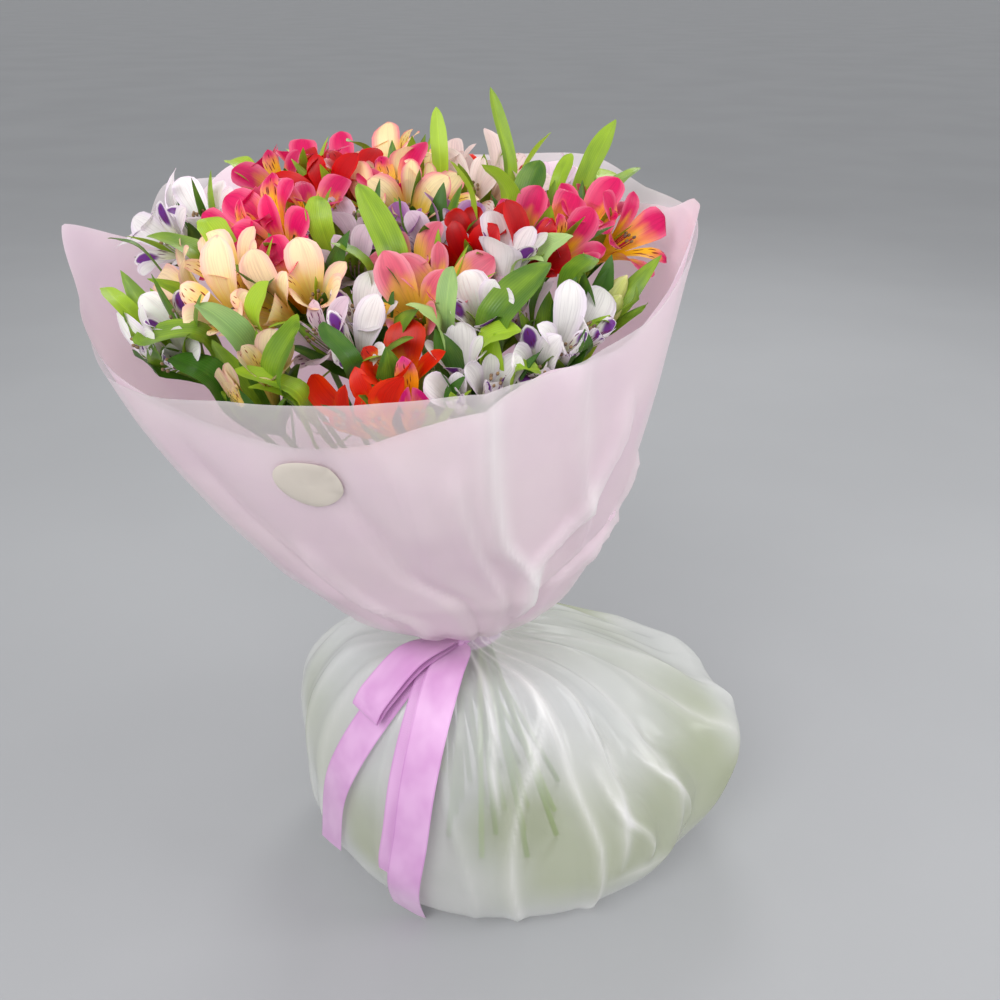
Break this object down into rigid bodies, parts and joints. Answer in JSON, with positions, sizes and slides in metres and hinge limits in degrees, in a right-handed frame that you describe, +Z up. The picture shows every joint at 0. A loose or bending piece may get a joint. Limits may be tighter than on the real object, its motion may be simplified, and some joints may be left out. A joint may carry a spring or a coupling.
{
  "type": "alstroemeria bouquet",
  "caption": "Spiral-tied alstroemeria bouquet in mixed colours, in a lilac sheet and frosted film, with a puffed film skirt over the stem ends and a satin bow.",
  "frame": {"origin": "centre of the flat underside of the film skirt, on the surface it stands on", "axes": "+Z up along the bouquet, -Y towards the front where the bow and the label are, +X to the viewer's right"},
  "size_m": [0.438, 0.369, 0.5531],
  "materials": {
    "petal_white": null,
    "petal_pink": null,
    "petal_red": null,
    "petal_cream": null,
    "petal_blush": null,
    "petal_lilac": null,
    "petal_purple": null,
    "petal_orchid": null,
    "petal_peach": null,
    "petal_scarlet": null,
    "petal_green": null,
    "leaf_green": null,
    "lilac_sheet": "matte translucent lilac wrapping film",
    "frosted_film": "frosted translucent wrapping film",
    "satin": "satin ribbon",
    "twine": "matte twine",
    "label_paper": "matte paper sticker"
  },
  "bodies": {
    "root": {"umbel_a": "petal_white", "leafy_stem_a": "leaf_green", "umbel_b": "petal_pink", "leafy_stem_b": "leaf_green", "umbel_c": "petal_red", "leafy_stem_c": "leaf_green", "umbel_d": "petal_cream", "leafy_stem_d": "leaf_green", "umbel_e": "petal_blush", "leafy_stem_e": "leaf_green", "umbel_f": "petal_lilac", "leafy_stem_f": "leaf_green", "umbel_g": "petal_purple", "leafy_stem_g": "leaf_green", "umbel_h": "petal_red", "leafy_stem_h": "leaf_green", "umbel_i": "petal_pink", "leafy_stem_i": "leaf_green", "umbel_j": "petal_pink", "leafy_stem_j": "leaf_green", "umbel_k": "petal_orchid", "leafy_stem_k": "leaf_green", "umbel_l": "petal_white", "leafy_stem_l": "leaf_green", "umbel_m": "petal_white", "leafy_stem_m": "leaf_green", "umbel_n": "petal_peach", "leafy_stem_n": "leaf_green", "umbel_o": "petal_peach", "leafy_stem_o": "leaf_green", "umbel_p": "petal_white", "leafy_stem_p": "leaf_green", "umbel_q": "petal_white", "leafy_stem_q": "leaf_green", "umbel_r": "petal_scarlet", "leafy_stem_r": "leaf_green", "umbel_s": "petal_white", "leafy_stem_s": "leaf_green", "umbel_t": "petal_peach", "leafy_stem_t": "leaf_green", "umbel_v": "petal_green", "leafy_stem_v": "leaf_green", "umbel_w": "petal_white", "leafy_stem_w": "leaf_green", "umbel_x": "petal_pink", "leafy_stem_x": "leaf_green", "umbel_y": "petal_cream", "leafy_stem_y": "leaf_green", "umbel_z": "petal_scarlet", "leafy_stem_z": "leaf_green", "umbel_zz": "petal_lilac", "leafy_stem_zz": "leaf_green", "binding_tie": "twine", "lilac_sheet": "lilac_sheet", "frosted_film": "frosted_film", "film_skirt": "frosted_film", "satin_ribbon": "satin", "label": "label_paper"}
  },
  "joints": []
}
